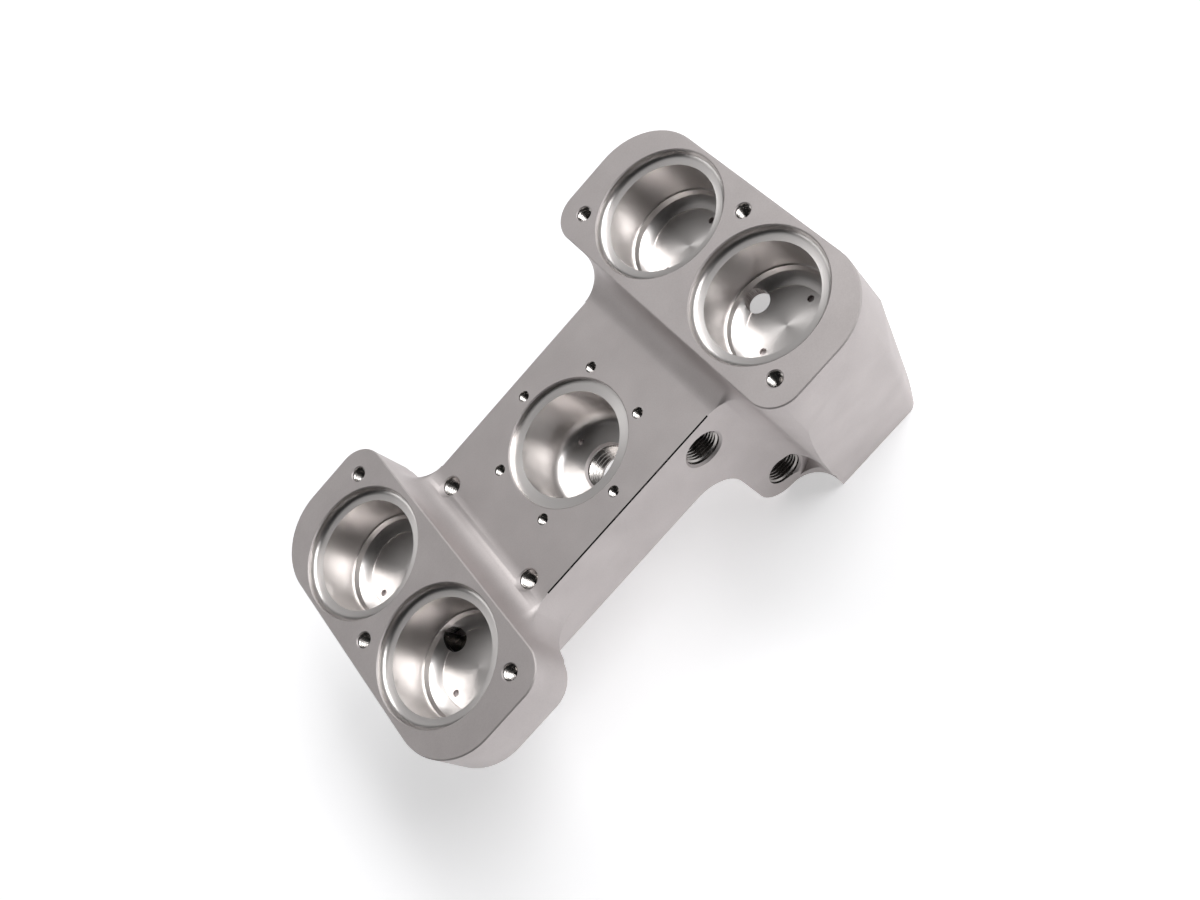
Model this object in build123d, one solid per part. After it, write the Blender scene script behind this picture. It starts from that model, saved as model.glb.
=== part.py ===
from build123d import *
from math import cos, hypot, radians, sin, sqrt, tan
import os

# Manifold block machined from one billet of aluminium, in millimetres.
# +Z points out of the cup faces, +X runs along the bridge towards the deep lobe, and z = 0 is the top of the bridge.
# The two side ports open on the -Y side.

# Plan outline: two lobes joined by a bridge
LOBE_INNER_X = 37.2
LOBE_OUTER_X = 75.4
LOBE_LENGTH = 90.0
LOBE_INNER_RADIUS = 8.0
LOBE_OUTER_RADIUS = 17.0
BRIDGE_WIDTH = 51.0
BRIDGE_PLAN_RADIUS = 9.0

# Side elevation
LOBE_FACE_Z = 8.6
COVE_RADIUS = 8.0
BRIDGE_UNDERSIDE_Z = -21.7
RIM_UNDERSIDE_Z = -5.2
BRIDGE_TAIL = 4.3
WINDOW_FACE_Z = -52.5
BLOCK_INNER_X = 20.8
BLOCK_ROOT_RADIUS = 10.0
BLOCK_TOE_RADIUS = 8.0

# Taper of the deep lobe: leaning end faces and a conical outer face
TAPER_DEG = 9.1
TAPER_ARC_X = 18.9
TAPER_ARC_RADIUS = 58.0
TAPER_CORNER_RADIUS = 3.5

# Window pocket in the deep lobe
WINDOW_INNER_X = 41.0
WINDOW_LENGTH = 53.6
WINDOW_ARC_RADIUS = 49.0
WINDOW_CORNER_RADIUS = 4.5
WINDOW_ROOF_Z = -10.9
GASKET_STEP_WIDTH = 1.2
GASKET_STEP_DEPTH = 0.8

# Keel and scoops under the thin lobe
KEEL_Z = -26.5
KEEL_HALF_WIDTH = 24.0
KEEL_EDGE_RADIUS = 9.0
SCOOP_RADIUS = 5.0
SCOOP_ROOT_Z = -13.8
RIM_END_WIDTH = 5.5
RIM_SIDE_WIDTH = 4.3
RAMP_START_Z = -7.9
RAMP_SLOPE_DEG = 45.0
RAMP_WIDTH = 56.0

# Lobe cups, sunk from the lobe faces
CUP_X = 56.5
CUP_Y = 19.16
CUP_SEAT_RADIUS = 17.5
CUP_SEAT_DEPTH = 2.3
CUP_SEAT_BLEND = 1.4
CUP_BORE_RADIUS = 14.6
CUP_BOWL_WIDTH = 3.7
CUP_BOWL_HEIGHT = 2.9
CUP_LEDGE_WIDTH = 0.4
CUP_LEDGE_DEPTH = 14.4
CUP_FLOOR_LIP = 0.3
CUP_PIN_OFFSET = 8.4
CUP_PIN_RADIUS = 0.9
CUP_PIN_DEPTH = 1.0
CUP_DRAIN_OFFSET = 10.7
CUP_DRAIN_RADIUS = 3.1
BLIND_DRAIN_DEPTH = 28.0

# Central cup, sunk from the bridge top
CENTRE_SEAT_RADIUS = 17.0
CENTRE_SEAT_DEPTH = 1.4
CENTRE_BORE_RADIUS = 14.0
CENTRE_DEPTH = 18.0
CENTRE_FLOOR_BLEND = 3.0
CENTRE_PIN_OFFSET = 10.2
CENTRE_PORT_X = 0.5
CENTRE_PORT_Y = -1.2

# Threaded holes are modelled at the major diameter of their thread
M3_RADIUS = 1.5
M4_RADIUS = 2.0
M5_RADIUS = 2.5
M12_RADIUS = 6.0
PIPE_THREAD_RADIUS = 4.9
LEAD_IN = 0.25
PORT_LEAD_IN = 0.6
FLANGE_PCD = 40.0
FLANGE_SCREWS = 6
FLANGE_SCREW_DEPTH = 7.0
LOBE_SCREW_INNER_X = 44.6
LOBE_SCREW_INNER_Y = 37.7
LOBE_SCREW_OUTER_X = 69.4
LOBE_SCREW_DEPTH = 10.0
BRIDGE_SCREW_X = -29.6
BRIDGE_SCREW_Y = 18.55
BRIDGE_SCREW_DEPTH = 12.0
COVER_SCREW_XS = (43.8, 58.8)
COVER_SCREW_Y = 32.0
COVER_SCREW_DEPTH = 8.0

# Side ports and the galleries that join ports, cups and window
UPPER_PORT_X = 21.5
UPPER_PORT_Z = -8.7
LOWER_PORT_X = 30.0
LOWER_PORT_Z = -43.5
PORT_DEPTH = 12.0
SPOTFACE_RADIUS = 7.6
SPOTFACE_SETBACK = 0.7
UPPER_GALLERY_RADIUS = 2.0
UPPER_GALLERY_REACH = (-12.5, 9.0, -6.3)
LOWER_GALLERY_RADIUS = 2.5
LOWER_GALLERY_REACH = (12.0, 5.0, 0.0)
LONG_GALLERY_RADIUS = 2.5
LONG_GALLERY_Y = -7.0
LONG_GALLERY_Z = -13.0

# Finish
EDGE_BREAK = 0.3
BOWL_STEPS = 3
CLEAR = 1.0


def span(low_u, high_u, low_v, high_v):
    """Flat rectangle between two pairs of limits."""
    centre = Pos((low_u + high_u) / 2, (low_v + high_v) / 2)
    return centre * Rectangle(high_u - low_u, high_v - low_v)


def corners(sketch, *points):
    """Vertices of a flat sketch that lie at the given points."""
    return [v for v in sketch.vertices() if any(hypot(v.X - p[0], v.Y - p[1]) < 0.01 for p in points)]


def lobe_plan(inner_x, outer_x, length, inner_radius, outer_radius):
    """Plan of a lobe on the +X side, with its own corner radii towards and away from the bridge."""
    lobe = span(inner_x, outer_x, -length / 2, length / 2)
    lobe = fillet(lobe.vertices().sort_by(Axis.X)[:2], inner_radius)
    return fillet(lobe.vertices().sort_by(Axis.X)[-2:], outer_radius)


def slab(plan, low_z, high_z):
    """Solid over a plan, between two heights."""
    return extrude(Pos(0, 0, low_z) * plan, high_z - low_z)


def turned(outline):
    """Solid of revolution about Z from a (radius, height) outline."""
    return revolve(Plane.XZ * outline, Axis.Z)


def threaded_hole(radius, depth, lead_in=0):
    """Cutter for a blind tapped hole below the origin, with a lead-in chamfer at the larger sizes."""
    mouth = (radius + lead_in + CLEAR, CLEAR)
    outline = Polyline((0, CLEAR), mouth, (radius, -lead_in), (radius, -depth), (0, -depth), close=True)
    return turned(make_face(outline))


def drilled(start, reach, radius):
    """Cutter for a plain round gallery from a start point over a reach."""
    length = Vector(*reach).length
    return extrude(Plane(origin=start, z_dir=reach) * Circle(radius), length)


def plan_fillet():
    """Radius of the plan fillets between bridge and lobes, held to the straight length of the lobe's inner wall."""
    return min(BRIDGE_PLAN_RADIUS, LOBE_LENGTH / 2 - LOBE_INNER_RADIUS - BRIDGE_WIDTH / 2)


def cove():
    """Cove at the foot of the +X lobe, turned down at both ends to run out where the plan fillets end."""
    turn = plan_fillet()
    radius = min(COVE_RADIUS, turn - CLEAR)
    foot_x = LOBE_INNER_X - radius
    axis_z = radius - turn
    axis_y = BRIDGE_WIDTH / 2 + turn - sqrt(turn ** 2 - axis_z ** 2)
    section = Plane.XZ * (span(foot_x, LOBE_INNER_X + CLEAR, axis_z, radius) - Pos(foot_x, radius) * Circle(radius))
    fill = extrude(section, axis_y, both=True)
    run_out = revolve(Pos(0, axis_y, 0) * section, Axis((0, axis_y, axis_z), (-1, 0, 0)), 90)
    return fill + run_out + mirror(run_out, Plane.XZ)


def block():
    """Milled form before the cups and holes."""
    lobe = lobe_plan(LOBE_INNER_X, LOBE_OUTER_X, LOBE_LENGTH, LOBE_INNER_RADIUS, LOBE_OUTER_RADIUS)
    half_bridge = BRIDGE_WIDTH / 2
    plan = lobe + mirror(lobe, Plane.YZ) + Rectangle(2 * LOBE_INNER_X + CLEAR, BRIDGE_WIDTH)
    roots = [(i * LOBE_INNER_X, j * half_bridge) for i in (-1, 1) for j in (-1, 1)]
    plan = fillet(corners(plan, *roots), plan_fillet())

    side = span(-LOBE_OUTER_X, -LOBE_INNER_X, RIM_UNDERSIDE_Z, LOBE_FACE_Z)
    side += span(-LOBE_INNER_X, LOBE_INNER_X, BRIDGE_UNDERSIDE_Z, 0)
    side += span(BLOCK_INNER_X, LOBE_OUTER_X, WINDOW_FACE_Z, 0)
    side += span(LOBE_INNER_X, LOBE_OUTER_X, 0, LOBE_FACE_Z)
    side = fillet(corners(side, (BLOCK_INNER_X, BRIDGE_UNDERSIDE_Z)), BLOCK_ROOT_RADIUS)
    side = fillet(corners(side, (BLOCK_INNER_X, WINDOW_FACE_Z)), BLOCK_TOE_RADIUS)

    body = extrude(Plane.XZ * side, LOBE_LENGTH / 2, both=True)
    body += cove() + mirror(cove(), Plane.YZ)
    body &= slab(plan, WINDOW_FACE_Z - CLEAR, LOBE_FACE_Z + CLEAR)
    tail = span(-LOBE_INNER_X - BRIDGE_TAIL, -LOBE_INNER_X + CLEAR, -half_bridge, half_bridge)
    return body + slab(tail, BRIDGE_UNDERSIDE_Z, RIM_UNDERSIDE_Z + CLEAR)


def tapered_envelope():
    """Space that the deep lobe keeps below z = 0: a cone between two leaning end planes."""
    lean = -WINDOW_FACE_Z * tan(radians(TAPER_DEG))
    cone = Cone(TAPER_ARC_RADIUS, TAPER_ARC_RADIUS + lean, -WINDOW_FACE_Z)
    top = LOBE_LENGTH / 2
    foot = top - lean
    ends = make_face(Polyline((-foot, WINDOW_FACE_Z), (foot, WINDOW_FACE_Z), (top, 0), (-top, 0), close=True))
    envelope = Pos(TAPER_ARC_X, 0, WINDOW_FACE_Z / 2) * cone & extrude(Plane.YZ * ends, 2 * LOBE_OUTER_X)
    leaning = [e for e in envelope.edges() if e.center().X > LOBE_INNER_X and abs((e @ 1 - e @ 0).Z) > 1]
    return fillet(leaning, TAPER_CORNER_RADIUS)


def underside():
    """Keel along X with a scoop on each side, as it runs below the rim from the thin lobe to the deep one."""
    rim_y = LOBE_LENGTH / 2 - RIM_END_WIDTH
    half = [(rim_y, 0), (rim_y, RIM_UNDERSIDE_Z), (KEEL_HALF_WIDTH, SCOOP_ROOT_Z), (KEEL_HALF_WIDTH, KEEL_Z)]
    profile = make_face(Polyline(*half, *[(-y, z) for y, z in reversed(half)], close=True))
    edges = [(i * KEEL_HALF_WIDTH, KEEL_Z) for i in (-1, 1)]
    roots = [(i * KEEL_HALF_WIDTH, SCOOP_ROOT_Z) for i in (-1, 1)]
    profile = fillet(corners(profile, *edges), KEEL_EDGE_RADIUS)
    profile = fillet(corners(profile, *roots), SCOOP_RADIUS)
    start = Plane(origin=(-LOBE_OUTER_X, 0, 0), x_dir=(0, 1, 0), z_dir=(1, 0, 0))
    return extrude(start * profile, LOBE_OUTER_X + BLOCK_INNER_X)


def keel():
    """The underside where it stands clear of the rim, cut by a ramp at the outer end of the thin lobe."""
    rim_y = LOBE_LENGTH / 2 - RIM_END_WIDTH
    inside_rim = lobe_plan(LOBE_INNER_X, LOBE_OUTER_X - RIM_SIDE_WIDTH, 2 * rim_y,
                           LOBE_INNER_RADIUS - RIM_END_WIDTH, LOBE_OUTER_RADIUS - RIM_SIDE_WIDTH)
    ground = mirror(inside_rim, Plane.YZ)
    ground += span(-LOBE_OUTER_X, -LOBE_INNER_X, -RAMP_WIDTH / 2, RAMP_WIDTH / 2)
    ground += span(-LOBE_INNER_X - CLEAR, BLOCK_INNER_X, -BRIDGE_WIDTH / 2, BRIDGE_WIDTH / 2)
    start = -LOBE_OUTER_X - CLEAR
    slope = tan(radians(RAMP_SLOPE_DEG))
    foot = (start + (RAMP_START_Z - KEEL_Z + 2 * CLEAR) / slope, KEEL_Z - CLEAR)
    ramp = make_face(Polyline((start, RAMP_START_Z + CLEAR * slope), foot, (start, KEEL_Z - CLEAR), close=True))
    return (underside() & slab(ground, KEEL_Z, 0)) - extrude(Plane.XZ * ramp, LOBE_LENGTH, both=True)


def web_waste():
    """Stock below the scoops at the two plan fillets beside the thin lobe."""
    inner, outer = BRIDGE_WIDTH / 2, BRIDGE_WIDTH / 2 + plan_fillet()
    webs = Sketch() + [span(-LOBE_INNER_X, plan_fillet() - LOBE_INNER_X, *side)
                       for side in ((inner, outer), (-outer, -inner))]
    return slab(webs, BRIDGE_UNDERSIDE_Z, RIM_UNDERSIDE_Z) - underside()


def window():
    """Cutter for the pocket in the deep lobe, with its gasket step."""
    half = WINDOW_LENGTH / 2
    outline = span(WINDOW_INNER_X, LOBE_OUTER_X, -half, half) & Pos(TAPER_ARC_X, 0) * Circle(WINDOW_ARC_RADIUS)
    outline = fillet(outline.vertices(), WINDOW_CORNER_RADIUS)
    pocket = slab(outline, WINDOW_FACE_Z - CLEAR, WINDOW_ROOF_Z)
    return pocket + slab(offset(outline, GASKET_STEP_WIDTH), WINDOW_FACE_Z - CLEAR, WINDOW_FACE_Z + GASKET_STEP_DEPTH)


def bowl(outer, width, height):
    """Outline points of a dished corner, from the foot of a wall in towards the floor."""
    steps = [radians(k * 90 / BOWL_STEPS) for k in range(BOWL_STEPS + 1)]
    return [(outer[0] - width * (1 - cos(a)), outer[1] - height * sin(a)) for a in steps]


def lobe_cup():
    """Cutter for a cup below the origin: blended seat, straight bore, small ledge, dished corner and flat floor."""
    ledge = (CUP_BORE_RADIUS - CUP_LEDGE_WIDTH, -CUP_LEDGE_DEPTH)
    dish = bowl(ledge, CUP_BOWL_WIDTH, CUP_BOWL_HEIGHT)
    floor_radius, lip_z = dish[-1]
    outline = Polyline(
        (0, CLEAR),
        (CUP_SEAT_RADIUS + EDGE_BREAK + CLEAR, CLEAR),
        (CUP_SEAT_RADIUS, -EDGE_BREAK),
        *bowl((CUP_SEAT_RADIUS, CUP_SEAT_BLEND - CUP_SEAT_DEPTH), CUP_SEAT_BLEND, CUP_SEAT_BLEND),
        (CUP_BORE_RADIUS, -CUP_SEAT_DEPTH),
        (CUP_BORE_RADIUS, -CUP_LEDGE_DEPTH),
        *dish,
        (floor_radius, lip_z - CUP_FLOOR_LIP),
        (0, lip_z - CUP_FLOOR_LIP),
        close=True,
    )
    cup = turned(make_face(outline))
    for i in (-1, 1):
        cup += Pos(i * CUP_PIN_OFFSET, 0, lip_z - CUP_FLOOR_LIP) * Cylinder(CUP_PIN_RADIUS, 2 * CUP_PIN_DEPTH)
    return cup


def centre_cup():
    """Cutter for the cup in the bridge, with the threaded port through its floor."""
    corner = (CENTRE_BORE_RADIUS, CENTRE_FLOOR_BLEND - CENTRE_DEPTH)
    outline = Polyline(
        (0, CLEAR),
        (CENTRE_SEAT_RADIUS + EDGE_BREAK + CLEAR, CLEAR),
        (CENTRE_SEAT_RADIUS, -EDGE_BREAK),
        (CENTRE_SEAT_RADIUS, -CENTRE_SEAT_DEPTH),
        (CENTRE_BORE_RADIUS, -CENTRE_SEAT_DEPTH),
        *bowl(corner, CENTRE_FLOOR_BLEND, CENTRE_FLOOR_BLEND),
        (0, -CENTRE_DEPTH),
        close=True,
    )
    cup = turned(make_face(outline))
    cup += Pos(0, CENTRE_PIN_OFFSET, -CENTRE_DEPTH) * Cylinder(CUP_PIN_RADIUS, 2 * CUP_PIN_DEPTH)
    return cup + Pos(CENTRE_PORT_X, CENTRE_PORT_Y, -CENTRE_DEPTH) * threaded_hole(M12_RADIUS, -KEEL_Z, PORT_LEAD_IN)


def cups():
    """Cutters for the five cups, the drain in each -Y lobe cup and the gallery between the thin lobe and the centre."""
    cutters = centre_cup()
    for i in (-1, 1):
        for j in (-1, 1):
            cutters += Pos(i * CUP_X, j * CUP_Y, LOBE_FACE_Z) * lobe_cup()
    drain_y = CUP_DRAIN_OFFSET - CUP_Y
    mouth_z = LOBE_FACE_Z - CUP_LEDGE_DEPTH
    cutters += drilled((CUP_X, drain_y, mouth_z), (0, 0, WINDOW_ROOF_Z - mouth_z - CLEAR), CUP_DRAIN_RADIUS)
    cutters += drilled((-CUP_X, drain_y, mouth_z), (0, 0, LOBE_FACE_Z - BLIND_DRAIN_DEPTH - mouth_z), CUP_DRAIN_RADIUS)
    long_start = (-CENTRE_BORE_RADIUS / 2, LONG_GALLERY_Y, LONG_GALLERY_Z)
    return cutters + drilled(long_start, (-CUP_X - long_start[0], 0, 0), LONG_GALLERY_RADIUS)


def screws():
    """Cutters for the tapped screw holes."""
    cutters = Part()
    for k in range(FLANGE_SCREWS):
        angle = radians(90 + k * 360 / FLANGE_SCREWS)
        place = Pos(FLANGE_PCD / 2 * cos(angle), FLANGE_PCD / 2 * sin(angle), 0)
        cutters += place * threaded_hole(M3_RADIUS, FLANGE_SCREW_DEPTH)
    for i in (-1, 1):
        cutters += Pos(i * LOBE_SCREW_OUTER_X, 0, LOBE_FACE_Z) * threaded_hole(M4_RADIUS, LOBE_SCREW_DEPTH, LEAD_IN)
    for j in (-1, 1):
        for i in (-1, 1):
            place = Pos(i * LOBE_SCREW_INNER_X, j * LOBE_SCREW_INNER_Y, LOBE_FACE_Z)
            cutters += place * threaded_hole(M4_RADIUS, LOBE_SCREW_DEPTH, LEAD_IN)
        cutters += Pos(BRIDGE_SCREW_X, j * BRIDGE_SCREW_Y, 0) * threaded_hole(M5_RADIUS, BRIDGE_SCREW_DEPTH, LEAD_IN)
        for x in COVER_SCREW_XS:
            hole = Rot(180, 0, 0) * threaded_hole(M3_RADIUS, COVER_SCREW_DEPTH)
            cutters += Pos(x, j * COVER_SCREW_Y, WINDOW_FACE_Z) * hole
    return cutters


def ports():
    """Cutters for the two side ports, the spotface of the lower one and their angled galleries."""
    port = Rot(90, 0, 0) * threaded_hole(PIPE_THREAD_RADIUS, PORT_DEPTH, PORT_LEAD_IN)
    upper_y = -BRIDGE_WIDTH / 2
    lower_y = upper_y - SPOTFACE_SETBACK
    cutters = Pos(UPPER_PORT_X, upper_y, UPPER_PORT_Z) * port
    cutters += drilled((UPPER_PORT_X, upper_y + PORT_DEPTH, UPPER_PORT_Z), UPPER_GALLERY_REACH, UPPER_GALLERY_RADIUS)
    cutters += Pos(LOWER_PORT_X, lower_y, LOWER_PORT_Z) * port
    cutters += drilled((LOWER_PORT_X, lower_y + PORT_DEPTH, LOWER_PORT_Z), LOWER_GALLERY_REACH, LOWER_GALLERY_RADIUS)
    return cutters + drilled((LOWER_PORT_X, lower_y, LOWER_PORT_Z), (0, -LOBE_LENGTH / 2, 0), SPOTFACE_RADIUS)


def bridge_edge_waste():
    """Slivers that the edge break takes off along both sides of the bridge top."""
    reach = LOBE_INNER_X - plan_fillet()
    top = slab(span(-reach, reach, -BRIDGE_WIDTH / 2, BRIDGE_WIDTH / 2), -CLEAR, 0)
    sides = top.edges().filter_by(Axis.X).group_by(Axis.Z)[-1]
    return top - chamfer(sides, EDGE_BREAK)


def manifold():
    """Whole machined block."""
    around = slab(span(TAPER_ARC_X, LOBE_OUTER_X + CLEAR, -LOBE_LENGTH / 2 - CLEAR, LOBE_LENGTH / 2 + CLEAR),
                  WINDOW_FACE_Z, 0)
    body = block() - (around - tapered_envelope()) - web_waste() + keel()
    lobe_rims = [e for e in body.edges() if abs(e.center().Z - LOBE_FACE_Z) < 0.01]
    body = chamfer(lobe_rims, EDGE_BREAK)
    return body - bridge_edge_waste() - cups() - screws() - ports() - window()


os.makedirs("parts", exist_ok=True)
export_step(manifold(), "parts/manifold_body.step")
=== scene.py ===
import math
from collections import namedtuple
import bpy
from mathutils import Matrix, Vector


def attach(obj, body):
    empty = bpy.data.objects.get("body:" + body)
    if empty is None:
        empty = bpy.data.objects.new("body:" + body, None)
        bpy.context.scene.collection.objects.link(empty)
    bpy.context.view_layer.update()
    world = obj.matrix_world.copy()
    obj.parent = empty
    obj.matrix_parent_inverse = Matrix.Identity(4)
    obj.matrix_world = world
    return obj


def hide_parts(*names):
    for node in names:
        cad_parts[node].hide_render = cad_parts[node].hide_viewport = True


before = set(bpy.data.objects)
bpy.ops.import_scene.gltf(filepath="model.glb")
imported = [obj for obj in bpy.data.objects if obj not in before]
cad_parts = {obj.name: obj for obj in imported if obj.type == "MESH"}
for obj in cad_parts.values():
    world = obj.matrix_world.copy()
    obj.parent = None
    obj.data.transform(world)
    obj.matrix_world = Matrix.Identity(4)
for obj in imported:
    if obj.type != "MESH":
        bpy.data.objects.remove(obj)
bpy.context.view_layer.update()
MM = 0.001
ROOT = "root"

# Sizes shared with the block, in millimetres
CUP_X = 56.5
CUP_Y = 19.16
LOBE_FACE_Z = 8.6
CUP_SEAT_RADIUS = 17.5
CUP_FLOOR_Z = -9.0
CUP_DRAIN_OFFSET = 10.7
CUP_DRAIN_RADIUS = 3.1
CENTRE_SEAT_RADIUS = 17.0
CENTRE_FLOOR_Z = -18.0
FLANGE_CIRCLE_RADIUS = 20.0
WINDOW_FACE_Z = -52.5
BRIDGE_WIDTH = 51.0
EDGE_BREAK = 0.3

# Holes as rows of (mouth, direction out), in millimetres
UP, DOWN, NEAR = (0, 0, 1), (0, 0, -1), (0, -1, 0)
SIDES = (-1, 1)
FLANGE_SCREWS = [((FLANGE_CIRCLE_RADIUS * math.cos(turn), FLANGE_CIRCLE_RADIUS * math.sin(turn), 0), UP)
                 for turn in (math.radians(90 + 60 * k) for k in range(6))]
LOBE_SCREWS = [((i * 44.6, j * 37.7, LOBE_FACE_Z), UP) for i in SIDES for j in SIDES]
LOBE_SCREWS += [((i * 69.4, 0, LOBE_FACE_Z), UP) for i in SIDES]
BRIDGE_SCREWS = [((-29.6, j * 18.55, 0), UP) for j in SIDES]
COVER_SCREWS = [((x, j * 32.0, WINDOW_FACE_Z), DOWN) for x in (43.8, 58.8) for j in SIDES]
SIDE_PORTS = [((21.5, -25.0, -8.7), NEAR), ((30.0, -25.7, -43.5), NEAR)]
CENTRE_PORT = [((0.5, -1.2, CENTRE_FLOOR_Z), UP)]
DRAINS = [((i * CUP_X, CUP_DRAIN_OFFSET - CUP_Y, CUP_FLOOR_Z), UP) for i in SIDES]
DRAIN_DEPTH = 10.5

# One kind of tapped hole: the name of its threads, its mouths, its major radius and pitch, the turns of its
# ridge and the depth at which they start, and the depth down to which its faces are bare metal, painted
# darker as shade.
# In this order they are M3, M4, M5 and M3 screw holes, G1/8 pipe ports and an M12 x 1.5 port.
Tapping = namedtuple("Tapping", "name mouths radius pitch turns start bare_depth")
TAPPINGS = [
    Tapping("flange_screw_threads", FLANGE_SCREWS, 1.5, 0.5, 12, 0.2, 15),
    Tapping("lobe_screw_threads", LOBE_SCREWS, 2.0, 0.7, 12, 0.2, 20),
    Tapping("bridge_screw_threads", BRIDGE_SCREWS, 2.5, 0.8, 13, 0.2, 20),
    Tapping("cover_screw_threads", COVER_SCREWS, 1.5, 0.5, 13, 0.2, 15),
    Tapping("side_port_threads", SIDE_PORTS, 4.9, 0.907, 11, 0, 30),
    Tapping("centre_port_thread", CENTRE_PORT, 6.0, 1.5, 4, 0.3, 12),
]

# Every hole with bare walls, painted darker as shade: (mouth, direction out, radius, depth)
BARE_HOLES_WITH_PAINTED_SHADE = [(*hole, kind.radius, kind.bare_depth) for kind in TAPPINGS for hole in kind.mouths]
# The drains take the darker metal too, which paints shade down them
BARE_HOLES_WITH_PAINTED_SHADE += [(*hole, CUP_DRAIN_RADIUS, DRAIN_DEPTH) for hole in DRAINS]

# Thread profile, as shares of the pitch: ridge height, and half its width at the root and at the crest
RIDGE_HEIGHT, RIDGE_ROOT, RIDGE_CREST = 0.54, 0.44, 0.06
RIDGE_OVERLAP = 0.03  # mm that the ridge reaches into the wall
STEPS_PER_TURN = 28

# Slack for telling a facet's finish by its middle, in millimetres
CUP_SLACK = 0.02
CUP_FLOOR_SLACK = 0.1
HOLE_SLACK = 0.06
MOUTH_RIM = 0.05

# Points closer together than these are merged, in millimetres
BLOCK_MERGE = 0.002
THREAD_MERGE = 0.001

# Steeper corners than these, in degrees, stay sharp
BLOCK_CORNER = 32
THREAD_CORNER = 30

# Surface finish, in millimetres
GRIT_SIZE = 0.35
GRIT_HEIGHT = 0.03
TOOL_MARK_PITCH = 0.45
CLOUD_SIZE = 12
CUTTING_MARK_SIZE = 3

# Past this x a place belongs to the lobe cups, and short of it to the central cup, in millimetres
LOBE_START_X = 30

# The block's material slots after the first, which is blasted; the cut slot is darker, as painted shade
TURNED_SLOT, CUT_PAINTED_SHADE_SLOT = 1, 2

# The stage: floor and lamp distance in metres, the gap below the block in millimetres, and strengths of light
FLOOR_SIZE = 6.0
LAMP_DISTANCE = 1.6
FLOOR_GAP = 0.05
PAPER_GLOW = 0.48
ROOM_GLOW = 0.02

# Lamps: (name, degrees turned from +X, degrees raised, width and height in metres, watts).
# The windows stand high on the right, the strip low and the wide, weak sheet high behind the part.
LAMPS = [
    ("main_window", -12, 50, 1.25, 0.5, 17.0),
    ("second_window", 38, 50, 0.5, 0.5, 4.6),
    ("back_strip", 136, 22, 1.4, 0.5, 3.8),
    ("back_sheet", 95, 56, 1.5, 1.1, 2.6),
]

# The photograph's camera, solved from the block's own circles and right angles, in millimetres
CAMERA_PLACE = (38.465, -191.754, 253.643)
CAMERA_RIGHT = (0.66107, -0.56406, -0.49480)
CAMERA_DOWN = (-0.74253, -0.58664, -0.32328)
CAMERA_AHEAD = (-0.10792, 0.58111, -0.80664)
LENS = 39.058
SENSOR_WIDTH = 36.0


def linear(hex_colour):
    """sRGB hex to linear RGBA."""
    parts = [int(hex_colour[i:i + 2], 16) / 255 for i in (1, 3, 5)]
    return [c / 12.92 if c <= 0.04045 else ((c + 0.055) / 1.055) ** 2.4 for c in parts] + [1.0]


def add_node(tree, kind, links=(), **settings):
    """One node with its settings, and its inputs linked from (input, node, output) rows."""
    node = tree.nodes.new(kind)
    inputs = settings.pop("inputs", {})
    for key, value in settings.items():
        setattr(node, key, value)
    for key, value in inputs.items():
        node.inputs[key].default_value = value
    for name, source, output in links:
        tree.links.new(source.outputs[output], node.inputs[name])
    return node


def new_material(name):
    """Empty material of that name, and its node tree."""
    material = bpy.data.materials.new(name)
    material.use_nodes = True
    material.node_tree.nodes.clear()
    return material, material.node_tree


def noise(tree, place, size, detail=2.0, roughness=0.5):
    """Noise in lumps of that size, in millimetres."""
    return add_node(tree, "ShaderNodeTexNoise", [("Vector", place, "Object")],
                    inputs={"Scale": 1 / (size * MM), "Detail": detail, "Roughness": roughness})


def noise_range(tree, source, low, high):
    """A noise's middle range stretched between two values."""
    return add_node(tree, "ShaderNodeMapRange", [("Value", source, "Fac")],
                    inputs={"From Min": 0.3, "From Max": 0.7, "To Min": low, "To Max": high})


def grit_bump(tree, source, output, strength):
    """Bump as high as the grit, scaled by a strength."""
    return add_node(tree, "ShaderNodeBump", [("Height", source, output)],
                    inputs={"Strength": strength, "Distance": GRIT_HEIGHT * MM})


def metal_surface(tree, links, inputs):
    """Metal shader with those links and values, as the material's surface."""
    shader = add_node(tree, "ShaderNodeBsdfPrincipled", links, inputs={"Metallic": 1.0, **inputs})
    add_node(tree, "ShaderNodeOutputMaterial", [("Surface", shader, "BSDF")])


def blasted_aluminium():
    """Aluminium alloy, machined and bead-blasted: an even, warm light grey that mirrors nothing."""
    material, tree = new_material("blasted_aluminium")
    place = add_node(tree, "ShaderNodeTexCoord")
    # Blast dimples of about 0.15 mm are too fine for the render, so they are drawn larger
    grit = noise(tree, place, GRIT_SIZE, roughness=0.6)
    # Cloudy patches where the blast dwelt longer
    cloud = noise(tree, place, CLOUD_SIZE, detail=3.0)
    tone = add_node(tree, "ShaderNodeValToRGB", [("Fac", cloud, "Fac")])
    for stop, position, colour in zip(tone.color_ramp.elements, (0.3, 0.7), ("#CDC7C6", "#D5CFCE")):
        stop.position = position
        stop.color = linear(colour)
    rough = noise_range(tree, grit, low=0.56, high=0.68)
    bump = grit_bump(tree, grit, "Fac", strength=0.32)
    links = [("Base Color", tone, "Color"), ("Roughness", rough, "Result"), ("Normal", bump, "Normal")]
    metal_surface(tree, links, {})
    return material


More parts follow.
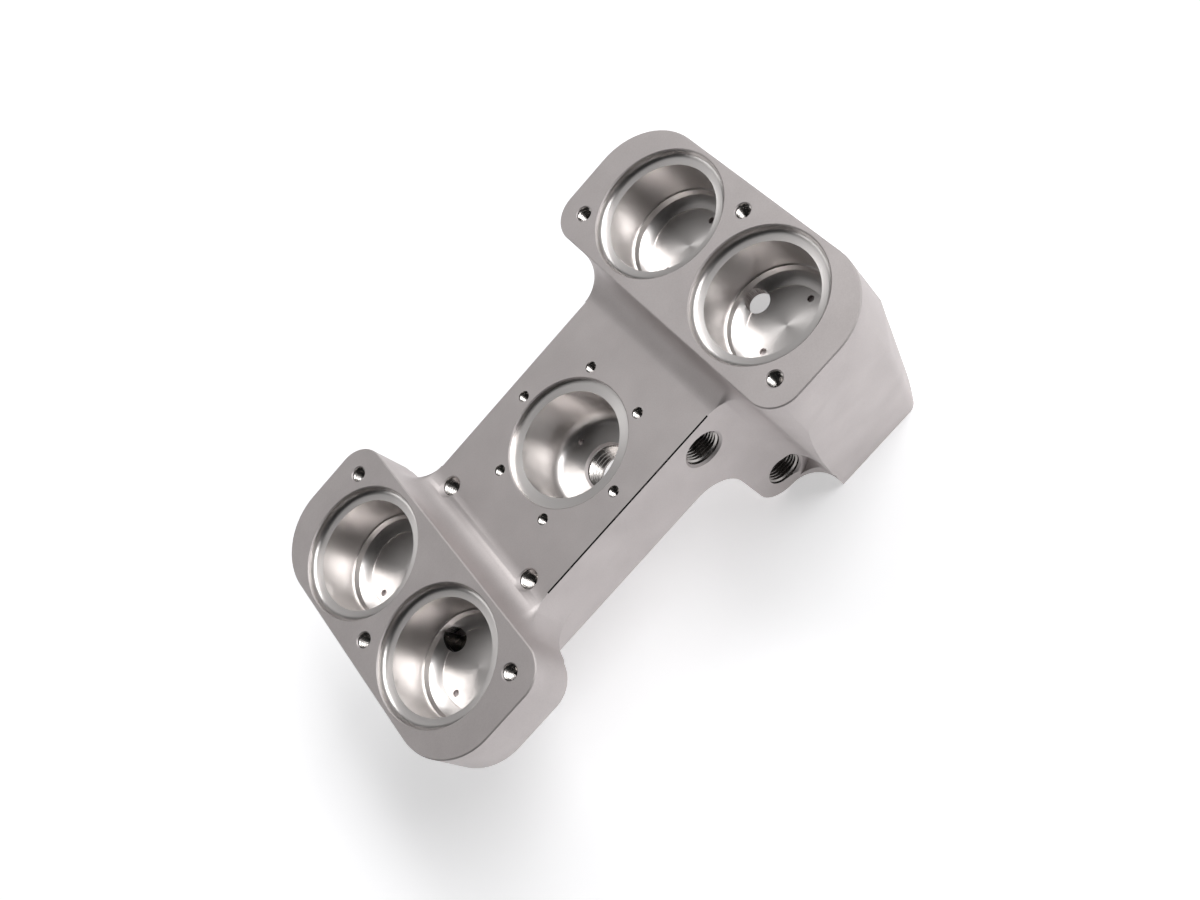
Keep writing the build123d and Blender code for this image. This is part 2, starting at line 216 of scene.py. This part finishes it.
def round_nearest_cup(tree, split):
    """Distance from the nearest cup axis and direction round it, from a place split into X, Y and Z."""
    # The lobe cups repeat by mirror
    side_x = add_node(tree, "ShaderNodeMath", [(0, split, "X")], operation="ABSOLUTE")
    side_y = add_node(tree, "ShaderNodeMath", [(0, split, "Y")], operation="ABSOLUTE")
    lobe_x = add_node(tree, "ShaderNodeMath", [(0, side_x, 0)], operation="SUBTRACT", inputs={1: CUP_X * MM})
    lobe_y = add_node(tree, "ShaderNodeMath", [(0, side_y, 0)], operation="SUBTRACT", inputs={1: CUP_Y * MM})
    lobe_place = add_node(tree, "ShaderNodeCombineXYZ", [("X", lobe_x, 0), ("Y", lobe_y, 0)])
    centre_place = add_node(tree, "ShaderNodeCombineXYZ", [("X", split, "X"), ("Y", split, "Y")])
    in_lobe = add_node(tree, "ShaderNodeMath", [(0, side_x, 0)],
                       operation="GREATER_THAN", inputs={1: LOBE_START_X * MM})
    flat = add_node(tree, "ShaderNodeMix",
                    [("Factor", in_lobe, 0), ("A", centre_place, 0), ("B", lobe_place, 0)],
                    data_type="VECTOR")
    radius = add_node(tree, "ShaderNodeVectorMath", [(0, flat, "Result")], operation="LENGTH")
    # The direction is mirrored back for the lobe cups
    sign_x = add_node(tree, "ShaderNodeMath", [(0, split, "X")], operation="SIGN")
    sign_y = add_node(tree, "ShaderNodeMath", [(0, split, "Y")], operation="SIGN")
    lobe_signs = add_node(tree, "ShaderNodeCombineXYZ", [("X", sign_x, 0), ("Y", sign_y, 0)])
    signs = add_node(tree, "ShaderNodeMix", [("Factor", in_lobe, 0), ("B", lobe_signs, 0)],
                     data_type="VECTOR", inputs={"A": (1, 1, 0)})
    outward = add_node(tree, "ShaderNodeVectorMath", [(0, flat, "Result"), (1, signs, "Result")],
                       operation="MULTIPLY")
    around = add_node(tree, "ShaderNodeVectorMath", [(1, outward, 0)],
                      operation="CROSS_PRODUCT", inputs={0: (0, 0, 1)})
    tangent = add_node(tree, "ShaderNodeVectorMath", [(0, around, 0)], operation="NORMALIZE")
    return radius, tangent


def turned_aluminium():
    """The same alloy where a tool turned the cups: fine rings round each cup's axis, smooth and bright."""
    material, tree = new_material("turned_aluminium")
    place = add_node(tree, "ShaderNodeTexCoord")
    split = add_node(tree, "ShaderNodeSeparateXYZ", [("Vector", place, "Object")])
    radius, tangent = round_nearest_cup(tree, split)
    # Tool marks evenly spaced across the floors and down the walls, with a little grit between them
    along = add_node(tree, "ShaderNodeMath", [(0, radius, "Value"), (1, split, "Z")], operation="SUBTRACT")
    rings = add_node(tree, "ShaderNodeMath", [(0, along, 0)],
                     operation="MULTIPLY", inputs={1: 2 * math.pi / (TOOL_MARK_PITCH * MM)})
    wave = add_node(tree, "ShaderNodeMath", [(0, rings, 0)], operation="SINE")
    grit = noise(tree, place, GRIT_SIZE, roughness=0.6)
    height = add_node(tree, "ShaderNodeMath", [(0, wave, 0), (2, grit, "Fac")],
                      operation="MULTIPLY_ADD", inputs={1: 0.25})
    bump = grit_bump(tree, height, 0, strength=0.2)
    metal_surface(tree, [("Normal", bump, "Normal"), ("Tangent", tangent, 0)],
                  {"Base Color": linear("#E4E0DE"), "Roughness": 0.33,
                   "Anisotropic": 0.7, "Anisotropic Rotation": 0.25})
    return material


def cut_aluminium_painted_shade():
    """The same alloy where holes, threads and edge breaks were cut after blasting: bare and smooth, and
    darker, as painted shade.
    """
    material, tree = new_material("cut_aluminium_painted_shade")
    place = add_node(tree, "ShaderNodeTexCoord")
    marks = noise(tree, place, CUTTING_MARK_SIZE, detail=1.0)
    rough = noise_range(tree, marks, low=0.22, high=0.28)
    # Darker than the blasted alloy: painted shade inside the holes and threads, and a painted dark line along
    # the bridge's edge break
    metal_surface(tree, [("Roughness", rough, "Result")], {"Base Color": linear("#B4B0AD")})
    return material


def paper_white():
    """Plain white matt sheet. It glows a little to the camera and in the metal, which lightens the shadow."""
    material, tree = new_material("paper_white")
    ray = add_node(tree, "ShaderNodeLightPath")
    seen = add_node(tree, "ShaderNodeMath", [(0, ray, "Is Camera Ray"), (1, ray, "Is Glossy Ray")],
                    operation="MAXIMUM")
    lift = add_node(tree, "ShaderNodeMath", [(0, seen, 0)], operation="MULTIPLY", inputs={1: PAPER_GLOW})
    paper = add_node(tree, "ShaderNodeBsdfDiffuse", inputs={"Color": linear("#F4F4F6")})
    glow = add_node(tree, "ShaderNodeEmission", [("Strength", lift, 0)], inputs={"Color": (1, 1, 1, 1)})
    both = add_node(tree, "ShaderNodeAddShader", [(0, paper, "BSDF"), (1, glow, "Emission")])
    add_node(tree, "ShaderNodeOutputMaterial", [("Surface", both, "Shader")])
    return material


def make_active(piece):
    """That piece as the only one selected."""
    bpy.ops.object.select_all(action="DESELECT")
    piece.select_set(True)
    bpy.context.view_layer.objects.active = piece


def in_cup(point):
    """True for a point on the wall or floor of a cup, in millimetres."""
    x, y, z = point
    cups = ((abs(x) - CUP_X, abs(y) - CUP_Y, CUP_SEAT_RADIUS, CUP_FLOOR_Z, LOBE_FACE_Z),
            (x, y, CENTRE_SEAT_RADIUS, CENTRE_FLOOR_Z, 0))
    return any(math.hypot(from_x, from_y) < radius + CUP_SLACK
               and floor_z - CUP_FLOOR_SLACK < z < face_z - CUP_SLACK
               for from_x, from_y, radius, floor_z, face_z in cups)


def on_bridge_edge(point, normal):
    """True for a point on the small break along the bridge's sides, which faces up and out."""
    y, z = point[1:]
    inside = BRIDGE_WIDTH / 2 - abs(y)
    return 0 < inside < EDGE_BREAK and -EDGE_BREAK < z < 0 and 0.2 < normal[2] < 0.95


def in_bare_hole_with_painted_shade(point):
    """True for a point inside a tapped hole, a port or a drain, below its mouth."""
    for mouth, out, radius, depth in BARE_HOLES_WITH_PAINTED_SHADE:
        offset = Vector(point) - Vector(mouth)
        down = -offset.dot(Vector(out))
        if MOUTH_RIM < down < depth and (offset + down * Vector(out)).length < radius + HOLE_SLACK:
            return True
    return False


def machined_block(blasted, turned, cut):
    """The block's own surface with its corners merged, shaded smooth, its cups turned and its holes cut, the
    cut faces painted darker as shade.
    """
    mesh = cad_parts["manifold_body"].data.copy()
    block = bpy.data.objects.new("machined_block", mesh)
    bpy.context.scene.collection.objects.link(block)
    make_active(block)
    bpy.ops.object.mode_set(mode="EDIT")
    bpy.ops.mesh.select_all(action="SELECT")
    bpy.ops.mesh.remove_doubles(threshold=BLOCK_MERGE * MM)
    bpy.ops.mesh.customdata_custom_splitnormals_clear()
    bpy.ops.object.mode_set(mode="OBJECT")
    mesh.materials.clear()
    for material in (blasted, turned, cut):
        mesh.materials.append(material)
    for face in mesh.polygons:
        point = [c / MM for c in face.center]
        # Holes, drains and the bridge's edge break take the darker cut metal: bare finish, with painted shade
        # in the holes and a painted dark line along the edge
        if on_bridge_edge(point, face.normal) or in_bare_hole_with_painted_shade(point):
            face.material_index = CUT_PAINTED_SHADE_SLOT
        elif in_cup(point):
            face.material_index = TURNED_SLOT
    bpy.ops.object.shade_smooth_by_angle(angle=math.radians(BLOCK_CORNER))
    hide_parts("manifold_body")
    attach(block, ROOT)


def thread_ridge(radius, pitch, turns):
    """One helical ridge inside a hole of that radius, its mouth at z = 0 and running down, in millimetres."""
    root, crest = radius + RIDGE_OVERLAP, radius - RIDGE_HEIGHT * pitch
    profile = [(root, RIDGE_ROOT), (crest, RIDGE_CREST), (crest, -RIDGE_CREST), (root, -RIDGE_ROOT)]
    points = [(r * MM, 0, (share * pitch - pitch) * MM) for r, share in profile]
    mesh = bpy.data.meshes.new("ridge")
    mesh.from_pydata(points, [(0, 1), (1, 2), (2, 3), (3, 0)], [])
    ridge = bpy.data.objects.new("ridge", mesh)
    bpy.context.scene.collection.objects.link(ridge)
    make_active(ridge)
    screw = ridge.modifiers.new("helix", "SCREW")
    screw.axis = "Z"
    screw.angle = -2 * math.pi
    screw.screw_offset = -pitch * MM
    screw.iterations = turns
    screw.steps = STEPS_PER_TURN
    screw.render_steps = STEPS_PER_TURN
    screw.use_merge_vertices = False
    bpy.ops.object.modifier_apply(modifier="helix")
    # Close the two ends
    bpy.ops.object.mode_set(mode="EDIT")
    bpy.ops.mesh.select_mode(type="VERT")
    bpy.ops.mesh.select_all(action="SELECT")
    bpy.ops.mesh.remove_doubles(threshold=THREAD_MERGE * MM)
    bpy.ops.mesh.select_all(action="DESELECT")
    bpy.ops.mesh.select_non_manifold()
    bpy.ops.mesh.edge_face_add()
    bpy.ops.mesh.select_all(action="SELECT")
    bpy.ops.mesh.normals_make_consistent(inside=False)
    bpy.ops.object.mode_set(mode="OBJECT")
    return ridge


def threads(kind, material):
    """Thread ridges of one kind of hole, copied to each mouth and joined to one piece."""
    pattern = thread_ridge(kind.radius, kind.pitch, kind.turns)
    copies = []
    for mouth, out in kind.mouths:
        copy = pattern.copy()
        copy.data = pattern.data.copy()
        bpy.context.scene.collection.objects.link(copy)
        start = [m - kind.start * o for m, o in zip(mouth, out)]
        turn = Vector(out).to_track_quat("Z", "Y").to_matrix().to_4x4()
        copy.data.transform(Matrix.Translation(Vector(start) * MM) @ turn)
        copies.append(copy)
    bpy.data.objects.remove(pattern)
    piece = copies[0]
    make_active(piece)
    for copy in copies:
        copy.select_set(True)
    if len(copies) > 1:
        bpy.ops.object.join()
    piece.name = kind.name
    piece.data.name = kind.name
    piece.data.materials.clear()
    piece.data.materials.append(material)
    make_active(piece)
    bpy.ops.object.shade_smooth_by_angle(angle=math.radians(THREAD_CORNER))
    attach(piece, ROOT)


def floor(material):
    """White sheet a hair below the window face, on which the block stands."""
    bpy.ops.mesh.primitive_plane_add(size=FLOOR_SIZE, location=(0, 0, (WINDOW_FACE_Z - FLOOR_GAP) * MM))
    sheet = bpy.context.object
    sheet.name = "floor"
    sheet.data.transform(Matrix.Translation(sheet.location))
    sheet.location = (0, 0, 0)
    sheet.data.materials.append(material)


def lamp(name, turn, rise, width, height, watts):
    """Soft rectangular lamp facing the part, turned from +X and raised by those degrees."""
    light = bpy.data.lights.new(name, "AREA")
    light.shape = "RECTANGLE"
    light.size = width
    light.size_y = height
    light.energy = watts
    turn, rise = math.radians(turn), math.radians(rise)
    place = Vector((math.cos(rise) * math.cos(turn), math.cos(rise) * math.sin(turn), math.sin(rise)))
    holder = bpy.data.objects.new(name, light)
    holder.location = LAMP_DISTANCE * place
    holder.rotation_euler = (-place).to_track_quat("-Z", "Y").to_euler()
    bpy.context.scene.collection.objects.link(holder)


def studio():
    """White room to the camera, dim to everything else, with its lamps."""
    world = bpy.data.worlds.new("studio")
    bpy.context.scene.world = world
    world.use_nodes = True
    tree = world.node_tree
    tree.nodes.clear()
    ray = add_node(tree, "ShaderNodeLightPath")
    room = add_node(tree, "ShaderNodeBackground", inputs={"Color": linear("#E8EAEE"), "Strength": ROOM_GLOW})
    white = add_node(tree, "ShaderNodeBackground", inputs={"Color": (1, 1, 1, 1), "Strength": 1.0})
    mixed = add_node(tree, "ShaderNodeMixShader", [(0, ray, "Is Camera Ray"), (1, room, 0), (2, white, 0)])
    add_node(tree, "ShaderNodeOutputWorld", [("Surface", mixed, "Shader")])
    for row in LAMPS:
        lamp(*row)


def camera():
    """The photograph's own view of the block."""
    data = bpy.data.cameras.new("camera")
    data.sensor_width = SENSOR_WIDTH
    data.lens = LENS
    data.clip_start = 0.02
    data.clip_end = 20.0
    eye = bpy.data.objects.new("camera", data)
    turn = Matrix((CAMERA_RIGHT, -Vector(CAMERA_DOWN), -Vector(CAMERA_AHEAD))).transposed().to_4x4()
    eye.matrix_world = Matrix.Translation(Vector(CAMERA_PLACE) * MM) @ turn
    bpy.context.scene.collection.objects.link(eye)
    bpy.context.scene.camera = eye


bpy.context.scene.view_settings.view_transform = "Standard"
camera()
cut = cut_aluminium_painted_shade()
machined_block(blasted_aluminium(), turned_aluminium(), cut)
# The thread ridges take the darker cut metal, which paints shade into the holes
for kind in TAPPINGS:
    threads(kind, cut)
floor(paper_white())
studio()
